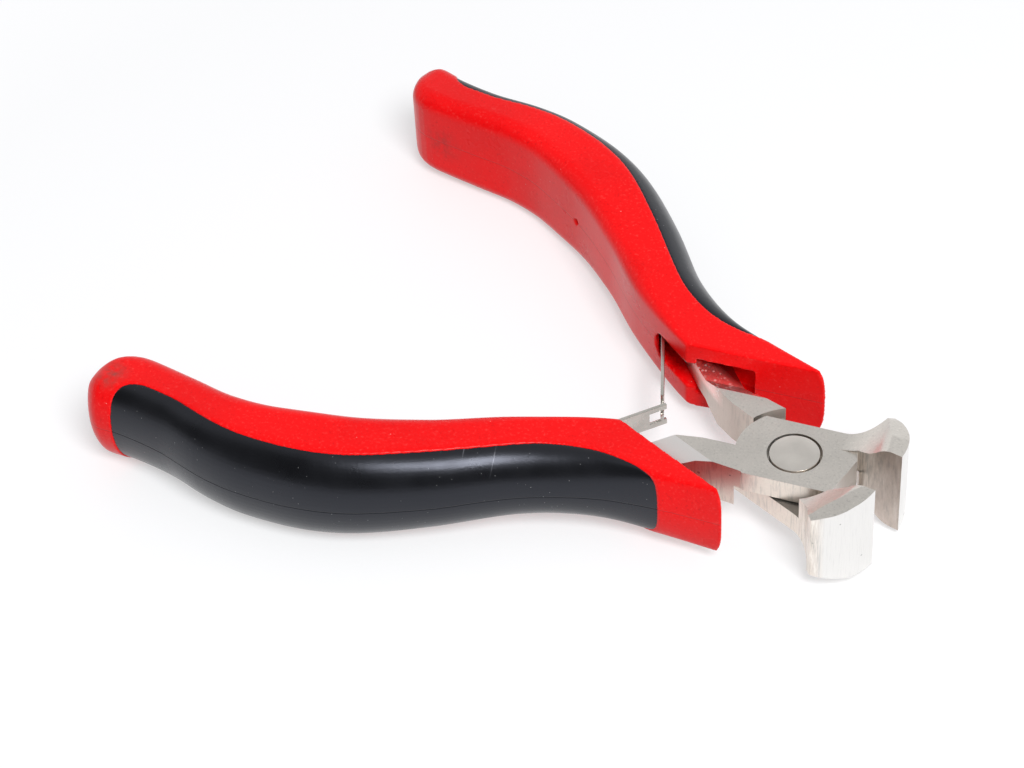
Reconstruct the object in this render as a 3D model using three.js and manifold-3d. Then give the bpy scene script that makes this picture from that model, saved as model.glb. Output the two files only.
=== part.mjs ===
// Mini end-cutting pliers with two-colour handles and a pair of hooked leaf springs.
// Millimetres, +Z up along the pivot axis, +X towards the jaws. The origin is the centre of the rivet's upper face.
// Both halves are the same forging, one turned over, so everything is drawn once in the frame of the lower half
// with the jaws shut: its handle is on +Y, its jaw on -Y and its half of the lap joint below the middle plane.
import * as THREE from 'three';
import { mergeVertices } from 'three/addons/utils/BufferGeometryUtils.js';
import Module from 'manifold-3d';

const wasm = await Module();
wasm.setup();

// Clearances and curve quality
const FIT = 0.3;
const CURVE_STEPS = 10;
const ROUND_STEPS = 40;
const BEYOND = 60; // cutting tools reach this far past the piece that they cut

// Joint
const OPEN_ANGLE = 27.2; // between the cutting edges, as modelled
const JOINT_THICKNESS = 6.4;
const JOINT_WIDTH = 10.8;
const BOSS_RADIUS = 7.6; // behind the pivot
const BOSS_FRONT_RADIUS = 7.9;
const BOSS_FLAT = 7.3; // pivot axis to the flat on the boss's front
const BOSS_FLAT_ANGLE = 15.4; // the flat faces this far off the middle plane
const RIVET_HEAD_DIAMETER = 6.5;
const RIVET_HEAD_DEPTH = 1.2;
const RIVET_SHANK_DIAMETER = 5.2;

// Jaw
const JAW_REACH = 13.8; // pivot axis to cutting edge
const JAW_HEIGHT = 13.2; // along the cutting edge
const JAW_HALF_WIDTH = 8.3; // cutting plane to outer corner
const JAW_CORNER_HEIGHT = 9.9;
const FACE_SETBACK = 3.1; // the front face runs back this far at the outer corner
const FACE_BULGE = 0.9;
const CORNER_FLAT = 0.9;
const EDGE_DEPTH = 4.5; // the ground bevel behind the cutting edge
const HOLLOW = 1.4; // cutting plane to the back of that bevel
const THROAT = 2.4;
const FLARE_START = 5; // the jaw begins to grow taller than the joint here
const FLARE_SHOULDER = 10.2;
const FLARE_SHOULDER_HEIGHT = 10.6;

// Tang, a strip from the joint into the sleeve
const TANG_ROOT_GAP = 0.9; // middle plane to the tang's inner side
const TANG_ROOT_WIDTH = 4.5;
const TANG_WAIST_WIDTH = 3.7;
const TANG_SHANK_WIDTH = 4.6;
const TANG_END_WIDTH = 3;
const TANG_THICKNESS = 3.4; // inside the sleeve
const TANG_BEVEL_START = 4.6; // both measured from the sleeve's oblique face
const TANG_BEVEL_END = 2.2;
const TANG_REACH = 46;

// Sleeve
const NOSE_REACH = 6.1; // pivot axis to the blunt nose, along X
const NOSE_OFFSET = 11.6; // middle plane to the oblique face at the nose
const FACE_ANGLE = 27.5; // oblique face to the middle plane
const NOSE_WIDTH = 10.2;
const NECK_WIDTH = 9.8;
const PALM_WIDTH = 11.8;
const BUTT_WIDTH = 9.8;
const NOSE_THICKNESS = 11.2;
const PALM_THICKNESS = 14.9;
const BUTT_THICKNESS = 13.4;
const BUTT_REACH = 90.8; // pivot axis to the end of the handle, along X
const BUTT_OUTER_ROUND = 3; // also the rounding above and below
const BUTT_INNER_ROUND = 6.2;
const NOSE_FILLET = 0.6; // along the inner corners
const PALM_FILLET = 2.2;
const SLOT_HEIGHT = 4;
const POCKET_HEIGHT = 5.9; // the slot's wider mouth in the oblique face
const POCKET_DEPTH = 3;
const POCKET_START = 9.4; // both measured along that face from the nose
const POCKET_END = 17.4;

// Soft inlay in the outer side of the sleeve
const INLAY_FRONT = 14.7;
const INLAY_REAR = 86;
const INLAY_END_ROUND = 4.2;
const INLAY_WEB = 1.4; // thickness over the sleeve's core
const CORE_HEIGHT = 6.6; // of the sleeve under the inlay

// Leaf springs
const LEAF_THICKNESS = 0.45;
const LEAF_WIDTH = 3.4;
const LEAF_TIP = 0.6; // past the hook
const HOOK_REACH = 19.8; // pivot axis to the hook, with the jaws open as modelled
const HOOK_LENGTH = 1.9; // slot and tongue, from the hook back
const TONGUE_WIDTH = 1.2;
const SPRING_PIN_X = -31;
const SPRING_PIN_Y = 7;
const SPRING_PIN_DIAMETER = 0.8;
const SPRING_PIN_SEAT = 0.9; // into the slot's roof and floor
const SLOT_ROUND_END = 0.8; // the slot's mouth begins this far ahead of the pin

// Worked out from the sizes above
const HALF_OPEN = THREE.MathUtils.degToRad(OPEN_ANGLE / 2);
const JOINT_TOP = JOINT_THICKNESS / 2;
const JAW_TOP = JAW_HEIGHT / 2;
const SLOT_TOP = SLOT_HEIGHT / 2;
const EYE_INNER = SPRING_PIN_DIAMETER / 2 + FIT;
const EYE_OUTER = EYE_INNER + LEAF_THICKNESS;
const UP = new THREE.Vector3(0, 0, 1);
const hook = new THREE.Vector2(-HOOK_REACH, 0).rotateAround(new THREE.Vector2(), HALF_OPEN);
const leafLine = hook.clone().sub(new THREE.Vector2(SPRING_PIN_X, SPRING_PIN_Y)); // from the pin to the hook
const LEAF_SHUT_ANGLE = Math.PI * 2 - Math.asin(SPRING_PIN_Y / leafLine.length()); // with the jaws shut

const MATERIALS = {
  forged: { color: 0xbdb8b0, roughness: 0.35, metalness: 1 },
  rivet: { color: 0xc4bfb7, roughness: 0.3, metalness: 1 },
  spring: { color: 0xb0aca5, roughness: 0.28, metalness: 1 },
  red: { color: 0xe3121a, roughness: 0.45, metalness: 0 },
  black: { color: 0x2b2c2e, roughness: 0.55, metalness: 0 },
};

// Solids: geometry in, geometry out, with cuts and joins between
function solid(geometry) {
  const bare = geometry.index ? geometry.toNonIndexed() : geometry.clone();
  bare.deleteAttribute('normal');
  bare.deleteAttribute('uv');
  const merged = mergeVertices(bare, 1e-4);
  return new wasm.Manifold(new wasm.Mesh({
    numProp: 3,
    vertProperties: new Float32Array(merged.attributes.position.array),
    triVerts: new Uint32Array(merged.index.array),
  }));
}

function geometryOf(body) {
  const mesh = body.getMesh();
  const geometry = new THREE.BufferGeometry();
  geometry.setAttribute('position', new THREE.BufferAttribute(mesh.vertProperties, 3));
  geometry.setIndex(new THREE.BufferAttribute(mesh.triVerts, 1));
  geometry.computeVertexNormals();
  return geometry;
}

function prism(shape, low, high) {
  const settings = { depth: high - low, bevelEnabled: false, curveSegments: CURVE_STEPS };
  return new THREE.ExtrudeGeometry(shape, settings).translate(0, 0, low);
}

function post(radius, low, high) {
  const cylinder = new THREE.CylinderGeometry(radius, radius, high - low, ROUND_STEPS);
  return cylinder.rotateX(Math.PI / 2).translate(0, 0, (low + high) / 2);
}

function block(xLow, xHigh, yLow, yHigh, zLow, zHigh) {
  const box = new THREE.BoxGeometry(xHigh - xLow, yHigh - yLow, zHigh - zLow);
  return box.translate((xLow + xHigh) / 2, (yLow + yHigh) / 2, (zLow + zHigh) / 2);
}

// A smooth size along X: y of the spline at a given x
function along(points) {
  const curve = new THREE.SplineCurve(points.map(([x, y]) => new THREE.Vector2(-x, y)));
  return (x) => {
    let low = 0;
    let high = 1;
    for (let step = 0; step < 40; step += 1) {
      const middle = (low + high) / 2;
      if (curve.getPoint(middle).x > x) low = middle;
      else high = middle;
    }
    return curve.getPoint((low + high) / 2).y;
  };
}

// A point beside a line that runs towards -X, off to its +Y side
function beside(line, x, offset) {
  const step = 0.05;
  const slope = (line(x + step) - line(x - step)) / (2 * step);
  const side = new THREE.Vector2(-slope, 1).normalize();
  return new THREE.Vector2(x, line(x)).addScaledVector(side, offset);
}

function span(from, to, count) {
  return Array.from({ length: count + 1 }, (_, i) => from + ((to - from) * i) / count);
}

// Closed skin through rings of points, with both ends capped
function loft(rings) {
  const count = rings[0].length;
  const points = rings.flat();
  const triangles = [];
  for (let ring = 0; ring + 1 < rings.length; ring += 1) {
    for (let i = 0; i < count; i += 1) {
      const a = ring * count + i;
      const b = ring * count + ((i + 1) % count);
      triangles.push(a, a + count, b, b, a + count, b + count);
    }
  }
  const last = (rings.length - 1) * count;
  for (let i = 1; i + 1 < count; i += 1) {
    triangles.push(0, i, i + 1, last, last + i + 1, last + i);
  }
  const geometry = new THREE.BufferGeometry().setFromPoints(points);
  geometry.setIndex(triangles);
  return geometry;
}

// The sleeve's oblique front face: distance from it towards the pivot, then height, then along the face
const faceAngle = THREE.MathUtils.degToRad(FACE_ANGLE);
const faceOut = new THREE.Vector3(Math.sin(faceAngle), -Math.cos(faceAngle), 0);
const faceFrame = new THREE.Matrix4()
  .makeBasis(faceOut, UP, faceOut.clone().cross(UP))
  .setPosition(-NOSE_REACH, NOSE_OFFSET, 0);

// Steel halves
function jawPlan() {
  const cornerX = JAW_REACH - FACE_SETBACK;
  const side = -JOINT_WIDTH / 2;
  const shape = new THREE.Shape();
  shape.moveTo(JAW_REACH, -FIT / 2);
  shape.quadraticCurveTo(JAW_REACH + FACE_BULGE, -JAW_HALF_WIDTH * 0.65, cornerX, -JAW_HALF_WIDTH);
  shape.lineTo(cornerX - CORNER_FLAT, -JAW_HALF_WIDTH + CORNER_FLAT / 2);
  shape.quadraticCurveTo(BOSS_RADIUS, side, FLARE_START, side);
  shape.lineTo(FLARE_START - THROAT, -THROAT);
  shape.lineTo(BOSS_RADIUS, -THROAT);
  shape.lineTo(JAW_REACH - EDGE_DEPTH, -HOLLOW);
  return shape;
}

function jawSideProfile() {
  const shape = new THREE.Shape();
  const outline = (sign) => [
    [FLARE_START, sign * JOINT_TOP],
    [BOSS_RADIUS, sign * JOINT_TOP, FLARE_SHOULDER, (sign * FLARE_SHOULDER_HEIGHT) / 2],
    [FLARE_SHOULDER + 1.2, sign * JAW_TOP, JAW_REACH - 1, sign * JAW_TOP],
    [JAW_REACH + BEYOND, sign * JAW_TOP],
  ];
  const upper = outline(1);
  shape.moveTo(0, -JOINT_TOP);
  shape.lineTo(...outline(-1)[0]);
  shape.quadraticCurveTo(...outline(-1)[1]);
  shape.quadraticCurveTo(...outline(-1)[2]);
  shape.lineTo(...outline(-1)[3]);
  shape.lineTo(...upper[3]);
  shape.lineTo(upper[2][2], upper[2][3]);
  shape.quadraticCurveTo(upper[2][0], upper[2][1], upper[1][2], upper[1][3]);
  shape.quadraticCurveTo(upper[1][0], upper[1][1], ...upper[0]);
  shape.lineTo(0, JOINT_TOP);
  return shape;
}

// The jaws seen from the front make an oval, tallest at the cutting edge
function jawFrontProfile() {
  const drop = JAW_CORNER_HEIGHT / JAW_HEIGHT;
  const halfWidth = JAW_HALF_WIDTH / Math.sqrt(1 - drop * drop);
  const shape = new THREE.Shape();
  shape.absellipse(0, 0, halfWidth, JAW_TOP, 0, Math.PI * 2);
  return shape;
}

// Round in front and behind, straight at the sides, with a flat across the front
function boss() {
  const corner = Math.asin(JOINT_WIDTH / 2 / BOSS_RADIUS);
  const frontCorner = Math.asin(JOINT_WIDTH / 2 / BOSS_FRONT_RADIUS);
  const shape = new THREE.Shape();
  shape.absarc(0, 0, BOSS_FRONT_RADIUS, -frontCorner, frontCorner);
  shape.absarc(0, 0, BOSS_RADIUS, Math.PI - corner, Math.PI + corner);
  const flat = block(BOSS_FLAT, BEYOND, -BEYOND, BEYOND, -BEYOND, BEYOND);
  flat.rotateZ(THREE.MathUtils.degToRad(BOSS_FLAT_ANGLE));
  return solid(prism(shape, -JOINT_TOP, -FIT / 2)).subtract(solid(flat));
}

const tangLine = along([
  [4, TANG_ROOT_GAP + TANG_ROOT_WIDTH / 2],
  [12, TANG_ROOT_GAP + TANG_WAIST_WIDTH / 2],
  [17, 4.2],
  [23, 7],
  [31, 10.4],
  [TANG_REACH + 1, 16],
]);
const tangWidth = along([
  [4, TANG_ROOT_WIDTH],
  [12, TANG_WAIST_WIDTH],
  [23, TANG_SHANK_WIDTH],
  [31, 3.8],
  [TANG_REACH + 1, TANG_END_WIDTH],
]);

function tangPlan(clearance) {
  const stops = span(-4, -TANG_REACH - clearance, 16);
  const inner = stops.map((x) => beside(tangLine, x, -tangWidth(x) / 2 - clearance));
  const outer = stops.map((x) => beside(tangLine, x, tangWidth(x) / 2 + clearance));
  return new THREE.Shape([...inner, ...outer.reverse()]);
}

// Thick at the joint, then bevelled down to enter the sleeve's slot
function tangThickness() {
  const shape = new THREE.Shape();
  const thin = TANG_THICKNESS / 2;
  shape.moveTo(-BEYOND, -thin);
  shape.lineTo(TANG_BEVEL_END, -thin);
  shape.lineTo(TANG_BEVEL_START, -JOINT_TOP);
  shape.lineTo(BEYOND, -JOINT_TOP);
  shape.lineTo(BEYOND, JOINT_TOP);
  shape.lineTo(TANG_BEVEL_START, JOINT_TOP);
  shape.lineTo(TANG_BEVEL_END, thin);
  shape.lineTo(-BEYOND, thin);
  return prism(shape, -BEYOND, BEYOND).applyMatrix4(faceFrame);
}

function steelHalf() {
  const side = prism(jawSideProfile(), -BEYOND, BEYOND).rotateX(Math.PI / 2);
  const front = prism(jawFrontProfile(), 0, BEYOND).rotateY(Math.PI / 2).rotateX(Math.PI / 2);
  const jaw = solid(prism(jawPlan(), -JAW_TOP, JAW_TOP)).intersect(solid(side)).intersect(solid(front));
  const tang = solid(prism(tangPlan(0), -JOINT_TOP, JOINT_TOP)).intersect(solid(tangThickness()));
  const otherBoss = solid(post(BOSS_FRONT_RADIUS + FIT, -FIT / 2, BEYOND));
  const headSeat = solid(post(RIVET_HEAD_DIAMETER / 2 + FIT, -BEYOND, RIVET_HEAD_DEPTH - JOINT_TOP + FIT));
  const bore = solid(post(RIVET_SHANK_DIAMETER / 2 + FIT, -BEYOND, BEYOND));
  return jaw.add(tang).subtract(otherBoss).add(boss()).subtract(headSeat).subtract(bore);
}

function pivotRivet() {
  const head = RIVET_HEAD_DIAMETER / 2;
  const shank = RIVET_SHANK_DIAMETER / 2;
  const neck = JOINT_TOP - RIVET_HEAD_DEPTH;
  const profile = [
    [0, -JOINT_TOP], [head, -JOINT_TOP], [head, -neck], [shank, -neck],
    [shank, neck], [head, neck], [head, JOINT_TOP], [0, JOINT_TOP],
  ].map(([radius, height]) => new THREE.Vector2(radius, height));
  return new THREE.LatheGeometry(profile, ROUND_STEPS).rotateX(Math.PI / 2);
}

// Handle: a line down its middle, with its width, thickness and roundness along that line
const handleLine = along([
  [3, 6.5], [15, 7], [24, 8.1], [34, 11.1], [44, 15.9], [54, 19.5], [64, 20.6], [71, 19.9], [78, 17.8],
  [85, 16.2], [BUTT_REACH, 15.6],
]);
const handleWidth = along([
  [3, NOSE_WIDTH], [30, NECK_WIDTH], [54, PALM_WIDTH], [66, 10.6], [78, 9], [BUTT_REACH, BUTT_WIDTH],
]);
const handleThickness = along([
  [3, NOSE_THICKNESS], [26, NOSE_THICKNESS], [62, PALM_THICKNESS], [BUTT_REACH, BUTT_THICKNESS],
]);
const outerRound = along([[3, 0.5], [14, 1.2], [34, 4.4], [64, 4.6], [BUTT_REACH, 3]]);
const innerFillet = along([[3, NOSE_FILLET], [22, NOSE_FILLET], [40, PALM_FILLET], [BUTT_REACH, PALM_FILLET]]);
const inlayDepth = along([
  [10, 0.4], [15, 0.8], [19, 2.15], [24, 3.5], [30, 4.1], [36, 3.9], [44, 4.05], [54, 3.8], [64, 3.6], [74, 3.65],
  [82, 3.6], [BUTT_REACH, 3.6],
]);

// How far a side has drawn in, at x, when its corner with the butt has the given radius
function buttShrink(x, radius) {
  const depth = THREE.MathUtils.clamp((radius - x - BUTT_REACH) / radius, 0, 1);
  return radius * (1 - Math.sqrt(1 - depth * depth));
}

// Across the handle: a rounded outer side, and filleted corners on the inner side
function handleSection(x) {
  const outer = handleWidth(x) / 2 - buttShrink(x, BUTT_OUTER_ROUND);
  const inner = buttShrink(x, BUTT_INNER_ROUND) - handleWidth(x) / 2;
  const halfHeight = handleThickness(x) / 2 - buttShrink(x, BUTT_OUTER_ROUND);
  const round = Math.min(outerRound(x), (outer - inner) / 2);
  const fillet = Math.min(innerFillet(x), (outer - inner) / 3);
  const points = [];
  for (const turn of span(-90, 90, 10).map(THREE.MathUtils.degToRad)) {
    points.push([outer - round + round * Math.cos(turn), halfHeight * Math.sin(turn)]);
  }
  for (const turn of span(90, 180, 3).map(THREE.MathUtils.degToRad)) {
    points.push([inner + fillet + fillet * Math.cos(turn), halfHeight - fillet + fillet * Math.sin(turn)]);
  }
  for (const turn of span(180, 270, 3).map(THREE.MathUtils.degToRad)) {
    points.push([inner + fillet + fillet * Math.cos(turn), fillet - halfHeight + fillet * Math.sin(turn)]);
  }
  return points.map(([across, height]) => {
    const place = beside(handleLine, x, across);
    return new THREE.Vector3(place.x, place.y, height);
  });
}

function handleBody() {
  const roundStart = BUTT_REACH - BUTT_INNER_ROUND;
  const stops = span(-3, -roundStart, 20);
  for (const turn of [25, 40, 55, 68, 79, 87].map(THREE.MathUtils.degToRad)) {
    stops.push(-roundStart - BUTT_INNER_ROUND * Math.sin(turn));
  }
  const rings = stops.map(handleSection);
  const obliqueCut = block(0, BEYOND, -BEYOND, BEYOND, -BEYOND, BEYOND).applyMatrix4(faceFrame);
  const noseCut = block(-NOSE_REACH, BEYOND, -BEYOND, BEYOND, -BEYOND, BEYOND);
  return solid(loft(rings)).subtract(solid(obliqueCut)).subtract(solid(noseCut));
}

// The inlay's place in plan: everything outside a line in the handle's top
function inlayPlan(clearance) {
  const rear = INLAY_REAR + clearance;
  const straight = span(-INLAY_FRONT + clearance, INLAY_END_ROUND - rear, 18);
  const inner = straight.map((x) => beside(handleLine, x, handleWidth(x) / 2 - inlayDepth(x) - clearance));
  for (const turn of [30, 55, 75, 90].map(THREE.MathUtils.degToRad)) {
    const x = INLAY_END_ROUND - rear - INLAY_END_ROUND * Math.sin(turn);
    const depth = (inlayDepth(x) + clearance) * Math.cos(turn);
    inner.push(beside(handleLine, x, handleWidth(x) / 2 - depth));
  }
  const outer = straight.map((x) => beside(handleLine, x, handleWidth(x)));
  outer.push(beside(handleLine, -rear, handleWidth(-rear)));
  return prism(new THREE.Shape([...inner, ...outer.reverse()]), -BEYOND, BEYOND);
}

function sleeveCore(clearance) {
  const stops = span(-INLAY_FRONT + BEYOND / 10, -INLAY_REAR - BEYOND / 20, 20);
  const outer = stops.map((x) => beside(handleLine, x, handleWidth(x) / 2 - INLAY_WEB - clearance));
  const inner = stops.map((x) => new THREE.Vector2(x, -BEYOND));
  const top = CORE_HEIGHT / 2 + FIT - clearance;
  return prism(new THREE.Shape([...outer, ...inner.reverse()]), -top, top);
}

// Room for the tang and the spring: open along the oblique face and the inner side, round at the far end
function sleeveSlot() {
  const pin = [SPRING_PIN_X, SPRING_PIN_Y, 0];
  const roof = SPRING_PIN_Y + EYE_OUTER + FIT;
  const leafRoom = LEAF_THICKNESS / 2 + FIT;
  const roundX = SPRING_PIN_X + SLOT_ROUND_END + SLOT_TOP;
  const pocketTop = POCKET_HEIGHT / 2;
  const pinTop = SLOT_TOP + SPRING_PIN_SEAT + FIT;
  const rooms = [
    prism(tangPlan(FIT), -SLOT_TOP, SLOT_TOP),
    block(-POCKET_DEPTH, BEYOND, -pocketTop, pocketTop, POCKET_START, POCKET_END).applyMatrix4(faceFrame),
    block(roundX, -HOOK_REACH, -BEYOND, roof, -SLOT_TOP, SLOT_TOP),
    new THREE.CylinderGeometry(SLOT_TOP, SLOT_TOP, BEYOND, ROUND_STEPS).translate(roundX, roof - BEYOND / 2, 0),
    post(EYE_OUTER + FIT, -SLOT_TOP, SLOT_TOP).translate(...pin),
    post(EYE_INNER, -pinTop, pinTop).translate(...pin),
  ];
  for (const swing of span(leafLine.angle(), LEAF_SHUT_ANGLE, 4)) {
    const leaf = block(0, leafLine.length(), -leafRoom, leafRoom, -SLOT_TOP, SLOT_TOP);
    rooms.push(leaf.rotateZ(swing).translate(...pin));
  }
  return rooms.map(solid).reduce((whole, room) => whole.add(room));
}

function sleeve() {
  const recess = solid(inlayPlan(FIT)).subtract(solid(sleeveCore(FIT)));
  return handleBody().subtract(recess).subtract(sleeveSlot());
}

function gripInlay() {
  return handleBody().intersect(solid(inlayPlan(0)).subtract(solid(sleeveCore(0))));
}

// Leaf springs, drawn along +X from the pin that anchors them
function leafBlank() {
  const halfWidth = LEAF_WIDTH / 2;
  const half = LEAF_THICKNESS / 2;
  const strip = block(EYE_INNER, leafLine.length() + LEAF_TIP, -half, half, -halfWidth, halfWidth);
  const eye = solid(post(EYE_OUTER, -halfWidth, halfWidth)).add(solid(strip));
  return eye.subtract(solid(post(EYE_INNER, -BEYOND, BEYOND)));
}

function forkLeaf() {
  const slot = TONGUE_WIDTH / 2 + FIT;
  const start = leafLine.length() - HOOK_LENGTH;
  return leafBlank().subtract(solid(block(start, BEYOND, -1, 1, -slot, slot)));
}

function tongueLeaf() {
  const start = leafLine.length() - HOOK_LENGTH;
  const shoulder = LEAF_WIDTH - TONGUE_WIDTH;
  let leaf = leafBlank();
  for (const sign of [-1, 1]) {
    const middle = (sign * (TONGUE_WIDTH + shoulder)) / 2;
    leaf = leaf.subtract(solid(block(start, BEYOND, -1, 1, middle - shoulder / 2, middle + shoulder / 2)));
  }
  return leaf;
}

function springPin() {
  const top = SLOT_TOP + SPRING_PIN_SEAT;
  return post(SPRING_PIN_DIAMETER / 2, -top, top);
}

function piece(name, finish, geometry) {
  const mesh = new THREE.Mesh(geometry, new THREE.MeshStandardMaterial(MATERIALS[finish]));
  mesh.name = name;
  return mesh;
}

function plierHalf(side, leafName, leaf) {
  const half = new THREE.Group();
  half.add(piece(`half_${side}`, 'forged', geometryOf(steelHalf())));
  half.add(piece(`sleeve_${side}`, 'red', geometryOf(sleeve())));
  half.add(piece(`grip_inlay_${side}`, 'black', geometryOf(gripInlay())));
  const spring = new THREE.Group();
  spring.position.set(SPRING_PIN_X, SPRING_PIN_Y, 0);
  spring.rotation.z = leafLine.angle();
  spring.add(piece(`spring_pin_${side}`, 'spring', springPin()));
  spring.add(piece(leafName, 'spring', geometryOf(leaf)));
  half.add(spring);
  return half;
}

const lower = plierHalf('lower', 'leaf_spring_tongue', tongueLeaf());
lower.rotation.z = -HALF_OPEN;

const turnedOver = plierHalf('upper', 'leaf_spring_fork', forkLeaf());
turnedOver.rotation.x = Math.PI;
const upper = new THREE.Group();
upper.rotation.z = HALF_OPEN;
upper.add(turnedOver);

const pliers = new THREE.Group();
pliers.position.z = -JOINT_TOP;
pliers.add(lower, upper, piece('pivot_rivet', 'rivet', pivotRivet()));

export default pliers;
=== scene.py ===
"""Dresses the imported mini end-cutting pliers: moulded sleeves, soft inlays, forged halves, rivet,
leaf springs and a white stage, seen from where the photograph was taken."""

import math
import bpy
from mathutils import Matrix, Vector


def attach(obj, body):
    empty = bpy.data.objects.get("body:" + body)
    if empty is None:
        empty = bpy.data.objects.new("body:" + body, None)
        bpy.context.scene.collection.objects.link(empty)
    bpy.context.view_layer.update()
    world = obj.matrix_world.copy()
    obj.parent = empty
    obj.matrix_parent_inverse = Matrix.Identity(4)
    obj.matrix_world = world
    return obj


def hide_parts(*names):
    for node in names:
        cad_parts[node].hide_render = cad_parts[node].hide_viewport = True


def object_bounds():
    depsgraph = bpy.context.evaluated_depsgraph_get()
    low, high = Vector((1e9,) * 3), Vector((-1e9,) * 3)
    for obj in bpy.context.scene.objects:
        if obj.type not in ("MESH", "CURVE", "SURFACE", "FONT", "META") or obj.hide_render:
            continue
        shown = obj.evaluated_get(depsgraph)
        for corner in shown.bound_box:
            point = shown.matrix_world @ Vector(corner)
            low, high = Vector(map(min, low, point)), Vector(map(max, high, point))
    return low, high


bl_info = {
    "name": "Mini End-Cutting Pliers",
    "version": (1, 0, 0),
    "blender": (4, 5, 0),
    "location": "3D View > Sidebar > Pliers",
    "description": "Makes the visible pieces of mini end-cutting pliers and the stage they lie on",
    "category": "Object",
}

import bmesh
import bpy
from bpy.props import FloatProperty, FloatVectorProperty, IntProperty, PointerProperty
from mathutils import Euler, Matrix, Vector

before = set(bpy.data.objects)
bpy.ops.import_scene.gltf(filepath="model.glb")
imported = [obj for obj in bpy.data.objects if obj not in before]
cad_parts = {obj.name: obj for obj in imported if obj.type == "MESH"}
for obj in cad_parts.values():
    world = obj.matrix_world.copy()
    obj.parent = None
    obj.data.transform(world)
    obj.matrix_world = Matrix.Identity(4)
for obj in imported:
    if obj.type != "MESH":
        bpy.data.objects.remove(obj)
cad_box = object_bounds()

MM = 0.001
JOINT_TOP = 3.2  # the middle plane of the joint is this far under the rivet's upper face
HALF_OPEN = math.radians(13.6)  # each half is turned this far from shut
BEYOND = 60.0  # cutting tools reach this far past the piece that they cut
SIDES = ("lower", "upper")

# Handle, in the frame of one half when shut: millimetres behind the pivot axis, then the size there
HANDLE_LINE = [(3, 6.5), (15, 7), (24, 8.1), (34, 11.1), (44, 15.9), (54, 19.5), (64, 20.6), (71, 19.9),
               (78, 17.8), (85, 16.2), (90.8, 15.6)]
HANDLE_WIDTH = [(3, 11.3), (14, 10), (30, 9.8), (54, 11.8), (66, 10.6), (78, 9), (90.8, 9.8)]
HANDLE_THICKNESS = [(3, 11.2), (26, 11.2), (62, 14.9), (90.8, 13.4)]
OUTER_ROUND = [(3, 0.5), (14, 1.2), (34, 4.4), (64, 4.6), (90.8, 3)]
INNER_FILLET = [(3, 0.6), (22, 0.6), (40, 2.2), (90.8, 2.2)]
INLAY_DEPTH = [(10, 0.4), (15, 0.8), (19, 2.15), (24, 3.5), (30, 4.1), (36, 3.9), (44, 4.05), (54, 3.8),
               (64, 3.6), (74, 3.65), (82, 3.6), (90.8, 3.6)]
TANG_LINE = [(4, 3.15), (12, 2.75), (17, 4.2), (23, 7), (31, 10.4), (47, 16)]
TANG_WIDTH = [(4, 4.5), (12, 3.7), (23, 4.6), (31, 3.8), (47, 3)]

# Moulding, in the same frame and in millimetres, with x running backwards from 0 at the pivot axis
HANDLE_FRONT, HANDLE_STATIONS = -3.0, 84  # first ring of a handle, and how many steps lead to its butt
BUTT_TURNS = (10, 20, 29, 38, 46, 54, 61, 68, 74, 79, 83.5, 87)  # degrees round the butt, one for each ring
OUTER_STEPS, FILLET_STEPS = 28, 7  # steps round the outer side and round an inner corner
CORNER_STEPS, EDGE_STEPS, BEND_STEPS = 8, 60, 10  # steps along the inlay's edge, from front to rear
BACK_STEPS, TANG_STEPS = 40, 30  # steps along the core or the inlay's outer side, and along a tang
HOLE_STEPS, MOUTH_STEPS, GATE_STEPS, RIVET_STEPS = 48, 20, 24, 72  # steps round what is round
SEARCH_ROUNDS = 32  # halvings that find a place on a spline
NOSE_TOP, NOSE_STEPS = 7.0, 28  # half height of the form that shapes the nose, and its steps
NOSE_HALF, NOSE_POWER = 5.2, 4  # the nose falls back with this power of its height over its half height
NOSE_FORM_BACK = -9.0  # where that form widens behind the nose
EDGE_GAP = 0.5  # between the inlay's front corner and the rest of its edge
CORE_COVER, CORE_HALF = 1.4, 3.6  # inlay outside the sleeve's core, and half the core's height
CORE_AHEAD, CORE_BEHIND = 6.0, 3.0  # how far the core reaches past the ends of the inlay
INLAY_SINK, INLAY_TUCK = 0.12, 0.18  # inlay below the sleeve's surface, and under the channel's walls
TANG_FRONT, TANG_REAR, TANG_ROOM = -4.0, -46.0, 0.3  # ends of a tang, and the room round it in its sleeve
POCKET = ((-3, 9.4), (BEYOND, 9.4), (BEYOND, 17.4), (-4.6, 17.4))  # out of the oblique face, then along it
MOUTH_FRONT, MOUTH_REAR, MOUTH_ROOF = -19.8, -28.2, 8.45  # ends of the spring's mouth, and its depth
SPRING_PIN = Vector((-31.0, 7.0))
LEAF_TURNS = (-44.76, -38, -31.5, -25.0)  # degrees that a leaf points to, from open to shut
LEAF_REACH, LEAF_HALF = 16.0, 0.525  # room for a leaf: its length from the pin, and half its thickness
EYE_ROOM, PIN_SEAT, PIN_HALF = 1.45, 0.7, 3.2  # room round a leaf's eye, a pin's radius and half length
WALL_GATE, BUTT_GATE, BUTT_GATE_IN = -54.0, -90.8, 1.6  # the two gate marks, and the second one's offset
GATE_RADIUS, GATE_DEPTH, GATE_CLEAR = 0.5, 0.5, 3.0  # size of a gate mark, and the clear end of its tool
RIVET_RIM = ((0.2, 0.0), (0.05, 0.03), (0.0, 0.1))  # in from a rivet head's edge, and down from its face
ASKEW = Euler((0.55, 0.35, 0.6)).to_matrix().to_4x4()  # turns flat sides away from the mesh grid

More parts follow.
